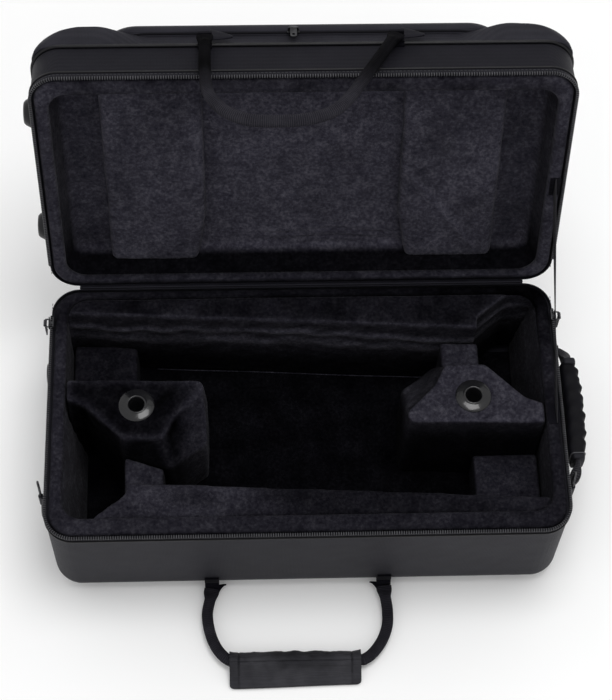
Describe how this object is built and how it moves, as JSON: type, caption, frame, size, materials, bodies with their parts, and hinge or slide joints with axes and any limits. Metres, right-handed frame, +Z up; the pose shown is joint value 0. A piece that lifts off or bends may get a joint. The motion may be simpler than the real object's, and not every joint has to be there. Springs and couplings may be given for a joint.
{
  "type": "trumpet case",
  "caption": "Open hard-shell case for two trumpets: zipped lid with pocket and pads, fitted plush pit with mouthpiece holders, webbing handles, end grip and strap rings.",
  "frame": {"origin": "on the ground under the middle of the base", "axes": "+X along the case to its right end with the end grip, +Y to the hinge at the back, +Z up; the front faces -Y"},
  "size_m": [0.615, 0.5866, 0.4895],
  "materials": {
    "shell_fabric": "woven",
    "plush": "plush pile",
    "holder_plastic": "gloss",
    "zip_tape": "woven",
    "zip_coil": "satin",
    "piping": "satin",
    "webbing": "ribbed",
    "hinge_cloth": "woven",
    "grip_leather": "grained",
    "grip_rubber": "matte",
    "foot_rubber": "satin",
    "metal": "satin"
  },
  "bodies": {
    "base": {"base_shell": "shell_fabric", "rim_roll": "plush", "floor_pad": "plush", "front_ledge": "plush", "back_ledge": "plush", "end_pad_left": "plush", "end_pad_right": "plush", "holder_block_left": "plush", "holder_block_right": "plush", "neck_pad_left": "plush", "neck_pad_right": "plush", "step_pad_left": "plush", "step_pad_right": "plush", "mouthpiece_holder_left": "holder_plastic", "mouthpiece_holder_right": "holder_plastic", "base_zip_tape": "zip_tape", "base_zip_coil": "zip_coil", "base_welt": "piping", "stay_strap": "webbing", "stay_tab_base": "webbing", "d_ring_tab_left": "webbing", "d_ring_tab_right": "webbing", "front_handle_anchor_left": "webbing", "front_handle_anchor_right": "webbing", "hinge_fabric": "hinge_cloth", "grip_bracket_back": "grip_rubber", "grip_bracket_front": "grip_rubber", "foot_base_front": "foot_rubber", "foot_base_back": "foot_rubber"},
    "lid": {"lid_shell": "shell_fabric", "lid_rim_roll": "plush", "lid_zip_tape": "zip_tape", "lid_zip_coil": "zip_coil", "lid_welt": "piping", "lid_lining": "plush", "lid_pad_left": "plush", "lid_pad_right": "plush", "lid_piping": "piping", "pocket_gusset": "shell_fabric", "pocket_zip": "zip_coil", "foot_lid_front": "foot_rubber", "foot_lid_back": "foot_rubber", "lid_handle_tab_left": "webbing", "lid_handle_tab_right": "webbing", "stay_tab_lid": "webbing"},
    "lid_handle": {"lid_handle": "webbing"},
    "pocket_flap": {"pocket_flap": "shell_fabric"},
    "pocket_slider": {"pocket_slider": "metal"},
    "pocket_pull": {"pocket_pull": "metal"},
    "front_handle": {"front_handle": "webbing", "grip_wrap": "grip_leather"},
    "grip_flap": {"grip_flap": "grip_leather"},
    "end_grip": {"end_grip_strap": "webbing", "end_grip": "grip_rubber"},
    "d_ring_left": {"d_ring_left": "metal"},
    "d_ring_right": {"d_ring_right": "metal"},
    "zip_slider_left": {"zip_slider_left": "metal"},
    "zip_slider_right": {"zip_slider_right": "metal"},
    "zip_pull_left": {"zip_pull_left": "metal"},
    "zip_pull_right": {"zip_pull_right": "metal"}
  },
  "joints": [
    {"name": "lid_hinge", "type": "hinge", "parent": "base", "child": "lid", "pos_m": [0, 0.153, 0.158], "axis": [1, 0, 0], "range_deg": [0, 104.7], "deforming": ["hinge_fabric", "stay_strap"]},
    {"name": "lid_handle_swing", "type": "hinge", "parent": "lid", "child": "lid_handle", "pos_m": [0, 0.28916, 0.44846], "axis": [-1, 0, 0], "range_deg": [0, 95]},
    {"name": "pocket_flap_hinge", "type": "hinge", "parent": "lid", "child": "pocket_flap", "pos_m": [0, 0.23146, 0.15086], "axis": [-1, 0, 0], "range_deg": [0, 70]},
    {"name": "pocket_slider_slide", "type": "slide", "parent": "lid", "child": "pocket_slider", "axis": [1, 0, 0], "range_m": [-0.15, 0.17]},
    {"name": "pocket_pull_swing", "type": "hinge", "parent": "pocket_slider", "child": "pocket_pull", "pos_m": [0, 0.30772, 0.43604], "axis": [-1, 0, 0], "range_deg": [0, 140]},
    {"name": "front_handle_swing", "type": "hinge", "parent": "base", "child": "front_handle", "pos_m": [0, -0.159, 0.0101], "axis": [-1, 0, 0], "range_deg": [0, 72]},
    {"name": "grip_flap_hinge", "type": "hinge", "parent": "front_handle", "child": "grip_flap", "pos_m": [0, -0.2485, 0.0195], "axis": [-1, 0, 0], "range_deg": [0, 178]},
    {"name": "end_grip_swing", "type": "hinge", "parent": "base", "child": "end_grip", "pos_m": [0.292, 0, 0.11], "axis": [0, 1, 0], "range_deg": [-38, 38]},
    {"name": "d_ring_left_swing", "type": "hinge", "parent": "base", "child": "d_ring_left", "pos_m": [-0.2905, -0.098, 0.1348], "axis": [0, 0, 1], "range_deg": [-22, 135]},
    {"name": "d_ring_right_swing", "type": "hinge", "parent": "base", "child": "d_ring_right", "pos_m": [0.2905, -0.098, 0.1348], "axis": [0, 0, -1], "range_deg": [-22, 135]},
    {"name": "zip_slider_left_slide", "type": "slide", "parent": "base", "child": "zip_slider_left", "axis": [0, -1, 0], "range_m": [0, 0.17]},
    {"name": "zip_slider_right_slide", "type": "slide", "parent": "base", "child": "zip_slider_right", "axis": [0, -1, 0], "range_m": [0, 0.17]},
    {"name": "zip_pull_left_swing", "type": "hinge", "parent": "zip_slider_left", "child": "zip_pull_left", "pos_m": [-0.2919, 0.108, 0.158], "axis": [0, 1, 0], "range_deg": [-12, 160]},
    {"name": "zip_pull_right_swing", "type": "hinge", "parent": "zip_slider_right", "child": "zip_pull_right", "pos_m": [0.2919, 0.108, 0.158], "axis": [0, -1, 0], "range_deg": [-12, 160]}
  ]
}
